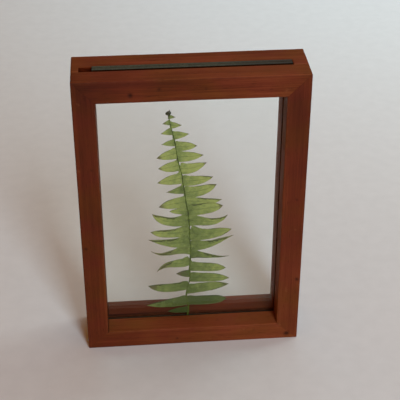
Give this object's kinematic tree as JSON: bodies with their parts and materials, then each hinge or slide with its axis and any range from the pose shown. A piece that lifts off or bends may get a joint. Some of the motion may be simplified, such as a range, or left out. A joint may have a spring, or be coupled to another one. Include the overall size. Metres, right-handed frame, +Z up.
{
  "type": "pressed fern frame",
  "caption": "Free-standing mitred wooden frame with a top slot and two clear panes that hold a pressed fern frond on show from both sides.",
  "frame": {"origin": "centre of the foot, on the surface that the frame stands on", "axes": "+X to the right seen from the front, +Y from the front to the back, +Z up"},
  "size_m": [0.152, 0.038, 0.2149],
  "materials": {
    "wood": "reddish-brown stained hardwood with a thin satin finish",
    "glass": "clear float glass, faintly green at its edges",
    "leaf": "matt dried leaf, olive to yellow-green with brown tips"
  },
  "bodies": {
    "root": {"front_top_rail": "wood", "front_bottom_rail": "wood", "front_left_stile": "wood", "front_right_stile": "wood", "back_top_rail": "wood", "back_bottom_rail": "wood", "back_left_stile": "wood", "back_right_stile": "wood", "glass_front": "glass", "glass_back": "glass", "fern_frond": "leaf"}
  },
  "joints": []
}
